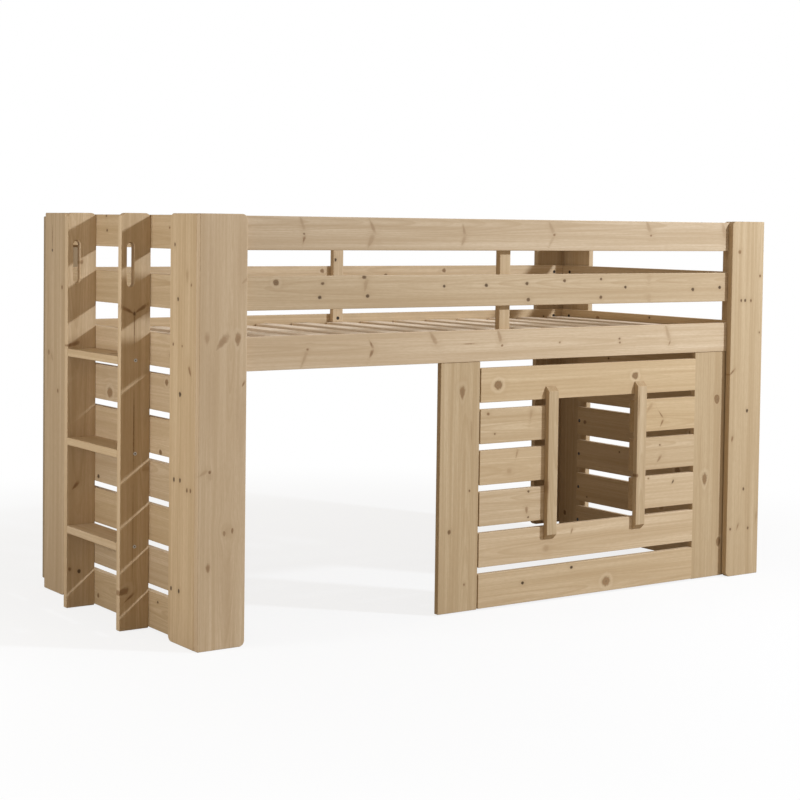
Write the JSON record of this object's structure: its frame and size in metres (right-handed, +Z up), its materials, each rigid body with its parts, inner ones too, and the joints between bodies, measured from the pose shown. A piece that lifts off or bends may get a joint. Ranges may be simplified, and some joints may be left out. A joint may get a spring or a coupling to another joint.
{
  "type": "house bed",
  "caption": "Mid-height children's bed of planed pine boards, with guard rails, a fixed end ladder, a slatted base and a play panel with a window under the front rail.",
  "frame": {"origin": "on the floor under the middle of the whole object's box, ladder included", "axes": "+X along the bed from the ladder end, +Y from the front with the window panel to the back, +Z up"},
  "size_m": [2.167, 0.997, 1.155],
  "materials": {
    "pine": "planed pine, clear matt oil",
    "pale_pine": "planed pine, untreated",
    "dark_steel": "browned steel",
    "bolt_steel": "dark zinc plate"
  },
  "bodies": {
    "root": {"post_front_left_front_board": "pine", "post_front_left_end_board": "pine", "post_front_right_front_board": "pine", "post_front_right_end_board": "pine", "post_back_left_back_board": "pine", "post_back_left_end_board": "pine", "post_back_right_back_board": "pine", "post_back_right_end_board": "pine", "front_top_guard_rail": "pine", "back_top_guard_rail": "pine", "left_top_guard_rail": "pine", "right_top_guard_rail": "pine", "front_lower_guard_rail": "pine", "back_lower_guard_rail": "pine", "left_lower_guard_rail": "pine", "right_lower_guard_rail": "pine", "front_bed_rail": "pine", "back_bed_rail": "pine", "left_bed_rail": "pine", "right_bed_rail": "pine", "left_end_board_1": "pine", "left_end_board_2": "pine", "left_end_board_3": "pine", "left_end_board_4": "pine", "left_end_board_5": "pine", "left_end_board_6": "pine", "right_end_board_1": "pine", "right_end_board_2": "pine", "right_end_board_3": "pine", "right_end_board_4": "pine", "right_end_board_5": "pine", "right_end_board_6": "pine", "front_guard_support": "pine", "back_guard_support": "pine", "ladder_front_stringer": "pine", "ladder_back_stringer": "pine", "ladder_step_1": "pine", "ladder_step_2": "pine", "ladder_step_3": "pine", "panel_left_stile": "pine", "panel_right_stile": "pine", "panel_top_board": "pine", "panel_lower_board": "pine", "panel_bottom_board": "pine", "panel_left_short_board_1": "pine", "panel_left_short_board_2": "pine", "panel_left_short_board_3": "pine", "panel_right_short_board_1": "pine", "panel_right_short_board_2": "pine", "panel_right_short_board_3": "pine", "window_left_trim": "pine", "window_right_trim": "pine", "front_ledger": "pale_pine", "back_ledger": "pale_pine", "slats": "pale_pine", "board_screws": "dark_steel", "trim_screws": "dark_steel", "ladder_screws": "dark_steel", "step_bolts": "bolt_steel", "barrel_nuts": "bolt_steel"}
  },
  "joints": []
}
